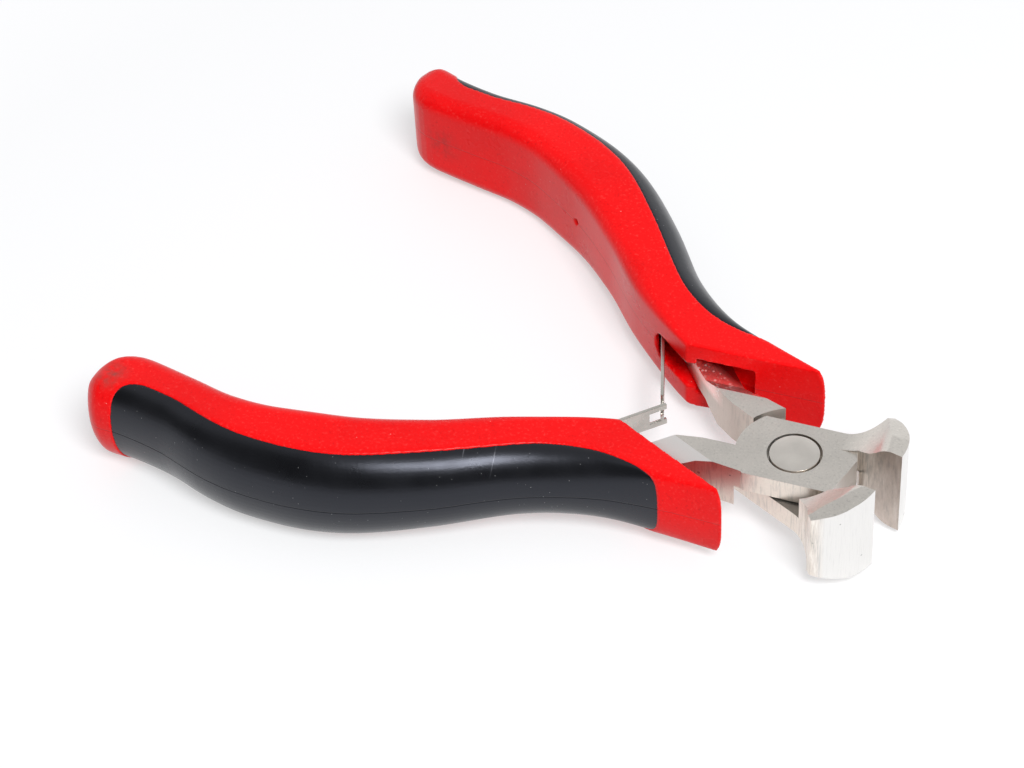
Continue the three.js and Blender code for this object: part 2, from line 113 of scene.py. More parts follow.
# Stage, in metres
TABLE_SIZE = 4.0
KEY_PLACE, KEY_SIZE = (0.33, -0.235, 0.585), 0.31
CAMERA_PLACE = (0.13195, -0.23545, 0.26788)
CAMERA_RIGHT, CAMERA_UP = Vector((0.8256, 0.5624, -0.0457)), Vector((-0.3596, 0.5868, 0.7255))
SENSOR_WIDTH = 36.0  # in millimetres
NEAR_FLOOR = (0.09, 0.3)  # the floor's glow that shiny pieces see fades out between these
FAR_FLOOR = (0.14, 0.6)  # the floor's glow that the camera sees grows between these
FLOOR_WHITE = 0.96  # and ends at this level
LIT_SIDE = (-0.5, 0.68, 0.55)  # shiny pieces see the bright part of the room this way
DARK_EDGE = (0.06, 0.44)  # towards that side, the room turns bright between these
CEILING_EDGE = (0.4, 0.75)  # upwards, its ceiling begins between these


# Sizes and colours that a user would change
class SleeveSizes(bpy.types.PropertyGroup):
    """Sizes of the moulded handle sleeves and their soft inlays"""
    butt_reach: FloatProperty(
        name="Butt reach", default=0.0908, unit="LENGTH",
        description="Pivot axis to the end of a handle")
    butt_outer_round: FloatProperty(
        name="Butt outer round", default=0.003, unit="LENGTH",
        description="Rounding of the handle's end, outside, above and below")
    butt_inner_round: FloatProperty(
        name="Butt inner round", default=0.0062, unit="LENGTH",
        description="Rounding of the handle's end on its inner side")
    nose_reach: FloatProperty(
        name="Nose reach", default=0.0059, unit="LENGTH",
        description="Pivot axis to the blunt nose of a sleeve")
    nose_offset: FloatProperty(
        name="Nose offset", default=0.01156, unit="LENGTH",
        description="Middle plane to the oblique face at the nose")
    face_angle: FloatProperty(
        name="Face angle", default=math.radians(27.5), subtype="ANGLE",
        description="Oblique face to the middle plane")
    nose_round: FloatProperty(
        name="Nose round", default=0.0006, unit="LENGTH",
        description="How far the nose falls back at its corners")
    slot_height: FloatProperty(
        name="Slot height", default=0.004, unit="LENGTH",
        description="Height of the slot for the tang and the spring")
    pocket_height: FloatProperty(
        name="Pocket height", default=0.0059, unit="LENGTH",
        description="Height of the slot's wider mouth")
    inlay_front: FloatProperty(
        name="Inlay front", default=0.0147, unit="LENGTH",
        description="Pivot axis to the front end of the soft inlay")
    inlay_rear: FloatProperty(
        name="Inlay rear", default=0.086, unit="LENGTH",
        description="Pivot axis to the rear end of the soft inlay")
    inlay_front_round: FloatProperty(
        name="Inlay front round", default=0.0016, unit="LENGTH",
        description="Rounding of the inlay's front corners")
    inlay_rear_round: FloatProperty(
        name="Inlay rear round", default=0.0042, unit="LENGTH",
        description="Rounding of the inlay's rear corners")
    skin: FloatProperty(
        name="Mesh size", default=0.00018, unit="LENGTH",
        description="Edge length of the even mesh that gives the moulded edges")
    softness: IntProperty(
        name="Softness", default=5, min=0,
        description="Rounds of smoothing over the moulded edges")


class SteelSizes(bpy.types.PropertyGroup):
    """Sizes of the steel pieces' finish"""
    edge_round: FloatProperty(
        name="Edge round", default=0.00014, unit="LENGTH",
        description="Rounding of the forged halves' edges")
    rivet_diameter: FloatProperty(
        name="Rivet head", default=0.0065, unit="LENGTH",
        description="Diameter of the rivet's heads")
    rivet_shank: FloatProperty(
        name="Rivet shank", default=0.0052, unit="LENGTH",
        description="Diameter of the rivet between its heads")
    rivet_head_depth: FloatProperty(
        name="Rivet head depth", default=0.0012, unit="LENGTH",
        description="Thickness of each rivet head")
    spring_edge: FloatProperty(
        name="Spring edge", default=0.00006, unit="LENGTH",
        description="Rounding of the leaf springs' edges")


class Finishes(bpy.types.PropertyGroup):
    """Colours of the finishes"""
    red: FloatVectorProperty(
        name="Red", default=(0.95, 0.002, 0.0035), size=3, subtype="COLOR", min=0, max=1,
        description="Moulded sleeves")
    black: FloatVectorProperty(
        name="Black", default=(0.0065, 0.0068, 0.008), size=3, subtype="COLOR", min=0, max=1,
        description="Soft inlays")
    steel: FloatVectorProperty(
        name="Steel", default=(0.70, 0.667, 0.622), size=3, subtype="COLOR", min=0, max=1,
        description="Satin steel of the halves")
    bright_steel: FloatVectorProperty(
        name="Bright steel", default=(0.77, 0.758, 0.74), size=3, subtype="COLOR", min=0, max=1,
        description="Ground front faces of the jaws")
    spring: FloatVectorProperty(
        name="Spring steel", default=(0.62, 0.60, 0.56), size=3, subtype="COLOR", min=0, max=1,
        description="Leaf springs and their pins")
    floor: FloatVectorProperty(
        name="Floor", default=(0.50, 0.505, 0.515), size=3, subtype="COLOR", min=0, max=1,
        description="Table top")


class StageSettings(bpy.types.PropertyGroup):
    """Camera and light"""
    lens: FloatProperty(
        name="Lens", default=105.3,
        description="Focal length on a 36 mm sensor")
    key_power: FloatProperty(
        name="Key light", default=4.4, unit="POWER",
        description="Soft light above, in front and to the right")
    sky: FloatProperty(
        name="Sky", default=0.43,
        description="Level of the light from all round")
    dark_side: FloatProperty(
        name="Dark side", default=0.04,
        description="How bright shiny pieces see the room in front of the table")
    ceiling: FloatProperty(
        name="Ceiling", default=0.58,
        description="How bright shiny pieces see the ceiling")
    glow: FloatProperty(
        name="Floor glow", default=0.5,
        description="Whiteness added to the floor as the camera sees it")


# Curves and outlines
def spline(points):
    """A smooth size along the handle, by x, which runs from 0 at the pivot to minus at the butt."""
    stops = [Vector((-x, value)) for x, value in points]
    last = len(stops) - 1

    def place(t):
        at = t * last
        i = min(int(at), last)
        w = at - i
        before, here = stops[max(i - 1, 0)], stops[i]
        after, later = stops[min(i + 1, last)], stops[min(i + 2, last)]
        rise, fall = (after - before) / 2, (later - here) / 2
        cubic = 2 * here - 2 * after + rise + fall
        square = 3 * after - 3 * here - 2 * rise - fall
        return cubic * w ** 3 + square * w ** 2 + rise * w + here

    def value(x):
        low, high = 0.0, 1.0
        for _ in range(SEARCH_ROUNDS):
            middle = (low + high) / 2
            if place(middle).x > x:
                low = middle
            else:
                high = middle
        return place((low + high) / 2).y

    return value


handle_line = spline(HANDLE_LINE)
handle_width = spline(HANDLE_WIDTH)
handle_thickness = spline(HANDLE_THICKNESS)
outer_round = spline(OUTER_ROUND)
inner_fillet = spline(INNER_FILLET)
inlay_depth = spline(INLAY_DEPTH)
tang_line = spline(TANG_LINE)
tang_width = spline(TANG_WIDTH)


def steps(start, end, count):
    """Even steps from start to end, both included."""
    return [start + (end - start) * i / count for i in range(count + 1)]


def arc(start, end, count):
    """Even steps of a turn that is given in degrees."""
    return [math.radians(turn) for turn in steps(start, end, count)]


def full_turn(count):
    """Even steps round a whole circle."""
    return [math.tau * i / count for i in range(count)]


def across(line, x):
    """The point of a line at x, and the direction square to it towards the outer side."""
    reach = 0.05
    slope = (line(x + reach) - line(x - reach)) / (2 * reach)
    return Vector((x, line(x))), Vector((-slope, 1)).normalized()


def beside(line, x, offset):
    """The point at an offset from a line, towards the outer side."""
    middle, side = across(line, x)
    return middle + side * offset


def drawn_in(x, radius, reach):
    """How far a side has drawn in at x, when its corner with the butt has the given radius."""
    depth = min(max((radius - x - reach) / radius, 0), 1)
    return radius * (1 - math.sqrt(1 - depth * depth))


def handle_section(x, sizes, swell):
    """A ring round the handle: a rounded outer side, and filleted corners on the inner side."""
    reach = sizes.butt_reach / MM
    outer_draw = drawn_in(x, sizes.butt_outer_round / MM, reach)
    outer = handle_width(x) / 2 - outer_draw + swell
    inner = drawn_in(x, sizes.butt_inner_round / MM, reach) - handle_width(x) / 2 - swell
    half = handle_thickness(x) / 2 - outer_draw + swell
    curve = min(outer_round(x), (outer - inner) / 2)
    fillet = min(inner_fillet(x), (outer - inner) / 3)
    outline = []
    for turn in arc(-90, 90, OUTER_STEPS):
        outline.append((outer - curve + curve * math.cos(turn), half * math.sin(turn)))
    for start, corner in ((90, half - fillet), (180, fillet - half)):
        for turn in arc(start, start + 90, FILLET_STEPS):
            outline.append((inner + fillet + fillet * math.cos(turn), corner + fillet * math.sin(turn)))
    middle, side = across(handle_line, x)
    return [Vector((*(middle + side * off), height)) for off, height in outline]


def handle_rings(sizes, swell):
    """Rings from the nose to the butt, closer together where the butt turns in."""
    bend = sizes.butt_inner_round / MM
    start = sizes.butt_reach / MM - bend
    stops = steps(HANDLE_FRONT, -start, HANDLE_STATIONS)
    stops += [-start - bend * math.sin(math.radians(turn)) for turn in BUTT_TURNS]
    return [handle_section(x, sizes, swell) for x in stops]


def inlay_outline(sizes, grow):
    """The inlay's place in plan: everything outside a line in the handle's top."""
    front = -sizes.inlay_front / MM + grow
    rear = sizes.inlay_rear / MM + grow
    corner = sizes.inlay_front_round / MM
    bend = sizes.inlay_rear_round / MM
    inner = []
    for turn in arc(0, 90, CORNER_STEPS):
        x = front - corner * (1 - math.cos(turn))
        inner.append(beside(handle_line, x, handle_width(x) / 2 - (inlay_depth(x) + grow) * math.sin(turn)))
    straight = steps(front - corner - EDGE_GAP, bend - rear, EDGE_STEPS)
    inner += [beside(handle_line, x, handle_width(x) / 2 - inlay_depth(x) - grow) for x in straight]
    for turn in arc(0, 90, BEND_STEPS)[1:]:
        x = bend - rear - bend * math.sin(turn)
        inner.append(beside(handle_line, x, handle_width(x) / 2 - (inlay_depth(x) + grow) * math.cos(turn)))
    outer = [beside(handle_line, x, handle_width(x)) for x in steps(front, -rear, BACK_STEPS)]
    return inner + outer[::-1]


def core_outline(sizes):
    """The sleeve's core in plan, behind the inlay."""
    stops = steps(CORE_AHEAD - sizes.inlay_front / MM, -CORE_BEHIND - sizes.inlay_rear / MM, BACK_STEPS)
    outer = [beside(handle_line, x, handle_width(x) / 2 - CORE_COVER) for x in stops]
    inner = [Vector((x, -BEYOND)) for x in stops]
    return outer + inner[::-1]


def tang_outline(clearance):
    """A tang in plan, with room round it."""
    stops = steps(TANG_FRONT, TANG_REAR - clearance, TANG_STEPS)
    inner = [beside(tang_line, x, -tang_width(x) / 2 - clearance) for x in stops]
    outer = [beside(tang_line, x, tang_width(x) / 2 + clearance) for x in stops]
    return inner + outer[::-1]


def round_outline(centre, radius):
    return [centre + Vector((math.cos(t), math.sin(t))) * radius for t in full_turn(HOLE_STEPS)]


def face_out(sizes):
    """The direction in which a sleeve's oblique face looks."""
    return Vector((math.sin(sizes.face_angle), -math.cos(sizes.face_angle), 0))


def nose_corner(sizes):
    """Where the oblique face meets the nose."""
    return Vector((-sizes.nose_reach / MM, sizes.nose_offset / MM, 0))


# Modelling
def activate(piece):
    bpy.ops.object.select_all(action="DESELECT")
    piece.select_set(True)
    bpy.context.view_layer.objects.active = piece


def loft(name, rings):
    """A filled ring, extruded from each place to the next."""
    bpy.ops.object.select_all(action="DESELECT")
    bpy.ops.mesh.primitive_circle_add(vertices=len(rings[0]), radius=1, fill_type="NGON")
    piece = bpy.context.object
    piece.name = name
    piece.data.name = name
    bpy.ops.object.mode_set(mode="EDIT")
    mesh = bmesh.from_edit_mesh(piece.data)
    for vert, place in zip(mesh.verts, rings[0]):
        vert.co = place
    bmesh.update_edit_mesh(piece.data)
    bpy.ops.mesh.select_all(action="SELECT")
    for last, ring in zip(rings, rings[1:]):
        bpy.ops.mesh.extrude_region()
        mesh = bmesh.from_edit_mesh(piece.data)
        for vert in [vert for vert in mesh.verts if vert.select]:
            nearest = min(range(len(last)), key=lambda i: (vert.co - last[i]).length_squared)
            vert.co = ring[nearest]
        bmesh.update_edit_mesh(piece.data)
    bpy.ops.mesh.select_all(action="SELECT")
    bpy.ops.mesh.normals_make_consistent(inside=False)
    bpy.ops.object.mode_set(mode="OBJECT")
    return piece


def prism(name, outline, low, high):
    """An outline in plan, from a low to a high level."""
    return loft(name, [[Vector((x, y, z)) for x, y in outline] for z in (low, high)])


def cross_prism(name, outline, near, far):
    """An outline in x and z, from a near to a far side."""
    return loft(name, [[Vector((x, y, z)) for x, z in outline] for y in (near, far)])


def disc_stack(name, stack):
    """Rings of (radius, height) about the Z axis."""
    turns = full_turn(RIVET_STEPS)
    return loft(name, [[Vector((r * math.cos(t), r * math.sin(t), z)) for t in turns] for r, z in stack])


def apply_modifiers(piece):
    activate(piece)
    for modifier in list(piece.modifiers):
        bpy.ops.object.modifier_apply(modifier=modifier.name)


def cut(piece, tool, operation="DIFFERENCE"):
    modifier = piece.modifiers.new("Cut", "BOOLEAN")
    modifier.operation = operation
    modifier.solver = "EXACT"
    modifier.object = tool
    apply_modifiers(piece)
    bpy.data.objects.remove(tool)


def slice_off(piece, point, direction):
    """Cuts away everything on the side of a plane that its direction points to."""
    activate(piece)
    bpy.ops.object.mode_set(mode="EDIT")
    bpy.ops.mesh.select_all(action="SELECT")
    bpy.ops.mesh.bisect(plane_co=point, plane_no=direction, use_fill=True, clear_outer=True, threshold=1e-5)
    bpy.ops.object.mode_set(mode="OBJECT")


def smooth_over(piece, name, rounds):
    smooth = piece.modifiers.new(name, "SMOOTH")
    smooth.factor = 0.5
    smooth.iterations = rounds


def soften(piece, skin, rounds):
    """An even mesh with soft moulded edges, on a grid askew to the piece."""
    piece.data.transform(ASKEW)
    remesh = piece.modifiers.new("Even mesh", "REMESH")
    remesh.mode = "VOXEL"
    remesh.voxel_size = skin
    remesh.use_smooth_shade = True
    smooth_over(piece, "Soft edges", rounds)
    thin = piece.modifiers.new("Fewer faces", "DECIMATE")
    thin.ratio = 0.5
    smooth_over(piece, "Even rims", 3)
    apply_modifiers(piece)
    piece.data.transform(ASKEW.inverted())
    bpy.ops.object.shade_smooth()


def placement(side):
    """From the frame of one half, shut and in millimetres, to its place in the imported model."""
    turn = Matrix.Rotation(-HALF_OPEN, 4, "Z")
    if side == "upper":
        turn = Matrix.Rotation(HALF_OPEN, 4, "Z") @ Matrix.Rotation(math.pi, 4, "X")
    return Matrix.Translation((0, 0, -JOINT_TOP * MM)) @ turn @ Matrix.Scale(MM, 4)


def dress(piece, node, body, material):
    """Puts a finished piece in the place of a CAD node."""
    piece.data.materials.clear()
    piece.data.materials.append(material)
    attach(piece, body)
    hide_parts(node)


def both_sides(piece, name, node, material):
    """Copies of a piece that was modelled once, one in each half, each with its own mesh."""
    for side in SIDES:
        copy = piece.copy()
        copy.data = piece.data.copy()
        copy.name = f"{name}_{side}"
        copy.data.name = copy.name
        copy.data.transform(placement(side))
        copy.data.update()
        bpy.context.scene.collection.objects.link(copy)
        dress(copy, f"{node}_{side}", side, material)
    bpy.data.objects.remove(piece)


def node_copy(node, name):
    """A CAD node's mesh as a new piece, merged and with its flat faces whole."""
    piece = bpy.data.objects.new(name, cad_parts[node].data.copy())
    piece.data.name = name
    bpy.context.scene.collection.objects.link(piece)
    activate(piece)
    bpy.ops.mesh.customdata_custom_splitnormals_clear()
    bpy.ops.object.mode_set(mode="EDIT")
    bpy.ops.mesh.select_all(action="SELECT")
    bpy.ops.mesh.remove_doubles(threshold=1e-7)
    bpy.ops.mesh.dissolve_limited(angle_limit=math.radians(0.5))
    bpy.ops.object.mode_set(mode="OBJECT")
    return piece


def round_edges(piece, width):
    """Rounds the sharp edges, and keeps the faces between them flat to the eye."""
    bevel = piece.modifiers.new("Edges", "BEVEL")
    bevel.width = width
    bevel.segments = 2
    bevel.limit_method = "ANGLE"
    bevel.angle_limit = math.radians(28)
    bevel.use_clamp_overlap = True
    apply_modifiers(piece)
    bpy.ops.object.shade_smooth_by_angle(angle=math.radians(32))
    weigh = piece.modifiers.new("Flat faces stay flat", "WEIGHTED_NORMAL")
    weigh.keep_sharp = True
    weigh.weight = 80
    apply_modifiers(piece)


def handle_blank(name, sizes, swell=0.0):
    """The whole handle, cut off at the oblique face and the nose."""
    blank = loft(name, handle_rings(sizes, swell))
    corner = nose_corner(sizes)
    slice_off(blank, corner, face_out(sizes))
    fall = sizes.nose_round / MM
    height = steps(-NOSE_TOP, NOSE_TOP, NOSE_STEPS)
    form = [(corner.x - fall * (abs(z) / NOSE_HALF) ** NOSE_POWER, z) for z in height]
    form += [(NOSE_FORM_BACK, BEYOND), (-2 * BEYOND, BEYOND)]
    form += [(-2 * BEYOND, -BEYOND), (NOSE_FORM_BACK, -BEYOND)]
    cut(blank, cross_prism("nose_form", form, -BEYOND, BEYOND), "INTERSECT")
    return blank


def recess(sizes, grow):
    """The channel that the inlay fills, round the sleeve's core."""
    channel = prism("channel", inlay_outline(sizes, grow), -BEYOND, BEYOND)
    cut(channel, prism("core", core_outline(sizes), -CORE_HALF, CORE_HALF))
    return channel


# Node trees
def feed(tree, socket, value):
    """Links a socket to another one, or sets it to a number, a point or a colour."""
    if isinstance(value, bpy.types.NodeSocket):
        tree.links.new(value, socket)
    elif socket.type == "RGBA":
        socket.default_value = (*value, 1.0)
    else:
        socket.default_value = value


def add(tree, kind, **values):
    """A new node, with its settings and its inputs given by name."""
    node = tree.nodes.new(kind)
    for name, value in values.items():
        if hasattr(node, name):
            setattr(node, name, value)
        else:
            feed(tree, node.inputs[name.replace("_", " ").title()], value)
    return node


def maths(tree, operation, *values):
    """A sum on numbers."""
    node = add(tree, "ShaderNodeMath", operation=operation)
    for socket, value in zip(node.inputs, values):
        feed(tree, socket, value)
    return node.outputs[0]


def times(tree, first, second):
    return maths(tree, "MULTIPLY", first, second)


def plus(tree, first, second):
    return maths(tree, "ADD", first, second)


def point_maths(tree, operation, *values):
    """A sum on points, whose result is a point or a number."""
    node = add(tree, "ShaderNodeVectorMath", operation=operation)
    for socket, value in zip(node.inputs, values):
        feed(tree, socket, value)
    return node.outputs["Value" if operation in ("DOT_PRODUCT", "LENGTH", "DISTANCE") else "Vector"]


def axes_of(tree, point):
    """The X, Y and Z of a point or a direction."""
    return add(tree, "ShaderNodeSeparateXYZ", vector=point).outputs


def noise(tree, place, scale, **values):
    return add(tree, "ShaderNodeTexNoise", vector=place, scale=scale, **values).outputs["Fac"]


def spread(tree, value, low, high, out_low, out_high, kind="LINEAR"):
    """A value from one range to another, held at its ends."""
    node = add(tree, "ShaderNodeMapRange", interpolation_type=kind, value=value,
               from_min=low, from_max=high, to_min=out_low, to_max=out_high)
    return node.outputs[0]


def mix(tree, factor, first, second):
    """Mixes two colours; each may be a colour or a socket."""
    node = add(tree, "ShaderNodeMix", data_type="RGBA")
    for index, value in ((0, factor), (6, first), (7, second)):
        feed(tree, node.inputs[index], value)
    return node.outputs[2]


def new_group(name, outputs, **inputs):
    """An empty shader node group: a place, inputs with their defaults, and outputs that are numbers."""
    tree = bpy.data.node_groups.new(name, "ShaderNodeTree")
    for label, default in {"Place": (0.0, 0.0, 0.0), **inputs}.items():
        kind = "NodeSocketFloat" if isinstance(default, float) else "NodeSocketVector"
        tree.interface.new_socket(label, in_out="INPUT", socket_type=kind).default_value = default
    for label in outputs:
        tree.interface.new_socket(label, in_out="OUTPUT", socket_type="NodeSocketFloat")
    return tree, tree.nodes.new("NodeGroupInput").outputs, tree.nodes.new("NodeGroupOutput").inputs


def grain_group(name):
    """Fine moulded or blasted grain: an even height, and a slow cloud of shine."""
    tree, given, made = new_group(name, ("Height", "Cloud"), Grain=2600.0, Cloud=90.0)
    tree.links.new(noise(tree, given["Place"], given["Grain"], detail=3.0, roughness=0.6), made["Height"])
    tree.links.new(noise(tree, given["Place"], given["Cloud"], detail=4.0, roughness=0.55), made["Cloud"])
    return tree


def speck_group(name):
    """Sparse small specks of dust, thicker in some places than in others."""
    tree, given, made = new_group(name, ("Mask",), Scale=700.0, Size=0.12, Share=0.3)
    cells = add(tree, "ShaderNodeTexVoronoi", feature="F1", vector=given["Place"], scale=given["Scale"])
    small = maths(tree, "LESS_THAN", cells.outputs["Distance"], given["Size"])
    pick = add(tree, "ShaderNodeSeparateColor")
    tree.links.new(cells.outputs["Color"], pick.inputs["Color"])
    some = maths(tree, "LESS_THAN", pick.outputs["Red"], given["Share"])
    patch = noise(tree, given["Place"], 120.0, detail=2.0)
    tree.links.new(times(tree, times(tree, small, some), patch), made["Mask"])
    return tree


def seam_group(name):
    """The mould's parting line, at the height of the middle plane, a little uneven."""
    sway = 0.00022
    tree, given, made = new_group(name, ("Mask",), Height=-JOINT_TOP * MM, Width=0.00009)
    waver = noise(tree, given["Place"], 220.0, detail=2.0)
    level = maths(tree, "MULTIPLY_ADD", waver, sway, axes_of(tree, given["Place"])["Z"])
    off = maths(tree, "SUBTRACT", maths(tree, "SUBTRACT", level, given["Height"]), sway / 2)
    fade = spread(tree, maths(tree, "ABSOLUTE", off), 0.0, given["Width"], 1.0, 0.0, "SMOOTHSTEP")
    tree.links.new(fade, made["Mask"])
    return tree


def brushed_group(name):
    """Fine grinding marks along one direction."""
    tree, given, made = new_group(name, ("Height",), Stretch=(600.0, 600.0, 6000.0))
    pulled = point_maths(tree, "MULTIPLY", given["Place"], given["Stretch"])
    tree.links.new(noise(tree, pulled, 1.0, detail=3.0, roughness=0.65), made["Height"])
    return tree


def smudge_group(name):
    """A soft, patchy smudge round one point."""
    tree, given, made = new_group(name, ("Mask",), Middle=(0.0, 0.0, 0.0), Size=0.003)
    off = point_maths(tree, "DISTANCE", given["Place"], given["Middle"])
    fade = spread(tree, off, 0.0, given["Size"], 1.0, 0.0, "SMOOTHSTEP")
    patch = noise(tree, given["Place"], 900.0, detail=4.0)
    tree.links.new(times(tree, fade, spread(tree, patch, 0.35, 0.65, 0.2, 1.0)), made["Mask"])
    return tree


def scratch_group(name):
    """A thin scratch where a plane through one point meets the surface."""
    tree, given, made = new_group(name, ("Mask",), Middle=(0.0, 0.0, 0.0), Across=(0.0, 0.0, 0.0))
    off = point_maths(tree, "SUBTRACT", given["Place"], given["Middle"])
    far = maths(tree, "ABSOLUTE", point_maths(tree, "DOT_PRODUCT", off, given["Across"]))
    tree.links.new(spread(tree, far, 0.00002, 0.00009, 1.0, 0.0), made["Mask"])
    return tree


GROUPS = {"Fine grain": grain_group, "Dust specks": speck_group, "Parting line": seam_group,
          "Grinding marks": brushed_group, "Smudge": smudge_group, "Scratch": scratch_group}


def place_group(tree, name, place, **values):
    """Places a group in a material with its own values, and gives its outputs."""
    node = tree.nodes.new("ShaderNodeGroup")
    node.node_tree = bpy.data.node_groups.get(name) or GROUPS[name](name)
    tree.links.new(place, node.inputs["Place"])
    for label, value in values.items():
        node.inputs[label].default_value = value
    return node.outputs


# Finishes
def made_once(make):
    """A finish that is made at its first use, and found by its name after that."""
    def finish():
        return bpy.data.materials.get(make.__name__) or make(make.__name__)
    return finish


def finish_material(name):
    """A new material with its shader and its Object coordinates."""
    material = bpy.data.materials.new(name)
    material.use_nodes = True
    tree = material.node_tree
    place = tree.nodes.new("ShaderNodeTexCoord").outputs["Object"]
    return material, tree, tree.nodes["Principled BSDF"].inputs, place


def clouded(tree, grain, dark, pale):
    """A tone that drifts slowly between two colours."""
    return mix(tree, spread(tree, grain["Cloud"], 0.3, 0.7, 0.0, 1.0), dark, pale)


def drifting(tree, grain, low, high):
    """A roughness that drifts slowly between two levels."""
    return spread(tree, grain["Cloud"], 0.25, 0.75, low, high)


def relief(tree, shader, height, distance, strength):
    """Bumps the surface by a height."""
    bump = add(tree, "ShaderNodeBump", strength=strength, distance=distance)
    tree.links.new(height, bump.inputs["Height"])
    tree.links.new(bump.outputs[0], shader["Normal"])


# Marks of use and a darker patch, in the imported model's frame and in metres
BUTT_SCUFF, BUTT_SCUFF_SIZE = (-0.0812, -0.0370, 0.0036), 0.0034
# a darker patch low on the far handle's wall, near its butt
WALL_DARK_PATCH, WALL_DARK_PATCH_SIZE = (-0.0767, 0.0311, -0.0034), 0.0042
# Light scratches across the near inlay: middle and length, and the direction square to them all
RUBBER_SCRATCHES = [((-0.03075, -0.02238, 0.0018), 0.0028), ((-0.0345, -0.0236, 0.0022), 0.0018),
                    ((-0.0372, -0.0245, 0.0024), 0.0022)]
SCRATCH_ACROSS = (-0.875, -0.441, 0.196)


@made_once
def red_vinyl(name):
    red = Vector(bpy.context.scene.pliers_finishes.red)
    pale_tone, dust_tone = (0.95, 0.10, 0.09), (0.9, 0.62, 0.58)
    scuff_tone, wall_patch_tone = (0.16, 0.07, 0.06), (0.30, 0.03, 0.03)
    material, tree, shader, place = finish_material(name)
    grain = place_group(tree, "Fine grain", place, Grain=2600.0, Cloud=70.0)
    dust = place_group(tree, "Dust specks", place, Scale=900.0, Size=0.075, Share=0.16)["Mask"]
    seam = place_group(tree, "Parting line", place, Width=0.0001)["Mask"]
    scuff = place_group(tree, "Smudge", place, Middle=BUTT_SCUFF, Size=BUTT_SCUFF_SIZE)["Mask"]
    wall_patch = place_group(tree, "Smudge", place, Middle=WALL_DARK_PATCH, Size=WALL_DARK_PATCH_SIZE)["Mask"]
    tone = clouded(tree, grain, red * 0.9, red * 1.06)
    tone = mix(tree, spread(tree, grain["Height"], 0.56, 0.72, 0.0, 0.34), tone, pale_tone)
    tone = mix(tree, spread(tree, grain["Height"], 0.28, 0.42, 0.6, 0.0), tone, red * 0.72)
    tone = mix(tree, times(tree, dust, 0.7), tone, dust_tone)
    tone = mix(tree, times(tree, scuff, 0.75), tone, scuff_tone)
    # the darker patch on the far handle's wall
    tone = mix(tree, times(tree, wall_patch, 0.5), tone, wall_patch_tone)
    tone = mix(tree, times(tree, seam, 0.45), tone, red * 0.35)
    tree.links.new(tone, shader["Base Color"])
    tree.links.new(drifting(tree, grain, 0.24, 0.36), shader["Roughness"])
    relief(tree, shader, plus(tree, grain["Height"], times(tree, seam, -5.0)), 0.00004, 0.25)
    shader["Specular IOR Level"].default_value = 0.19
    return material


@made_once
def black_rubber(name):
    black = Vector(bpy.context.scene.pliers_finishes.black)
    dust_tone, seam_tone, scratch_tone = (0.4, 0.4, 0.4), (0.002, 0.002, 0.002), (0.19, 0.19, 0.21)
    material, tree, shader, place = finish_material(name)
    grain = place_group(tree, "Fine grain", place, Grain=3600.0, Cloud=140.0)
    dust = place_group(tree, "Dust specks", place, Scale=1500.0, Size=0.1, Share=0.3)["Mask"]
    seam = place_group(tree, "Parting line", place, Width=0.00012)["Mask"]
    tone = clouded(tree, grain, black * 0.85, black * 1.25)
    tone = mix(tree, times(tree, dust, 0.6), tone, dust_tone)
    tone = mix(tree, times(tree, seam, 0.9), tone, seam_tone)
    for middle, length in RUBBER_SCRATCHES:
        scratch = place_group(tree, "Scratch", place, Middle=middle, Across=SCRATCH_ACROSS)["Mask"]
        near = place_group(tree, "Smudge", place, Middle=middle, Size=length)["Mask"]
        tone = mix(tree, times(tree, scratch, near), tone, scratch_tone)
    tree.links.new(tone, shader["Base Color"])
    shine = plus(tree, drifting(tree, grain, 0.24, 0.36), times(tree, seam, 0.5))
    tree.links.new(shine, shader["Roughness"])
    relief(tree, shader, plus(tree, grain["Height"], times(tree, seam, -24.0)), 0.00004, 0.25)
    shader["Specular IOR Level"].default_value = 0.46
    shader["Specular Tint"].default_value = (0.80, 0.84, 1.0, 1.0)
    return material


# Steel of the halves: where its finish changes and where light and shade are painted on it, in metres or by
# the way that a face looks, and its tones
JAW_FROM = (0.004, 0.006)  # the jaws begin between these, in front of the axis
TANG_FROM = (-0.006, -0.004)  # the tangs begin between these, behind it
MOUTH_FROM = (-0.011, -0.009)  # the sleeves' mouths begin between these
UPRIGHT = (0.2, 0.5)  # up to the first a face counts as upright, past the second as level
SHOULDER_HIGHLIGHT_LEVELS = (0.74, 0.8, 0.88, 0.93)  # a tang's shoulder rises and ends between these, and a highlight is painted there
FORWARD = (0.42, 0.56)  # a face begins to look forward between these
INWARD = (-0.003, -0.001)  # below the first, a face looks to the tool's middle plane
FROM_JOINT, IN_MOUTH = (0.008, 0.012), (0.0140, 0.0165)  # distance from the middle of the rivet's face
OWN_TOP = (0.000002, 0.000008)  # past the second, a place is on its half's own top, before it is turned over
MOUTH_SHADE_DEPTH, CRUMB_AND_GLINT_DEPTH = (0.0021, 0.0032), (0.0014, 0.0026)  # into a mouth, for the painted shade and for the crumbs with painted glints
WARMER = Vector((1.02, 0.93, 0.86))  # upright faces
PAINTED_INWARD_SHADE = Vector((0.5, 0.42, 0.4))  # painted shade on upright faces that look inwards
# pale tone of the highlight painted on the tangs' shoulders
PAINTED_SHOULDER_HIGHLIGHT = (0.98, 0.96, 0.94)
PAINTED_PINK_REFLECTION, PAINTED_DEEP_SHADE = (0.92, 0.62, 0.58), (0.34, 0.006, 0.008)  # painted reflection and painted shade in the sleeves' mouths
# pale crumbs, which also stand in as painted glints
CRUMB_AND_GLINT = (0.95, 0.90, 0.86)
MOUTH_SHADE_SLOPE = 0.415  # slope of the lines along which that painted shade is even
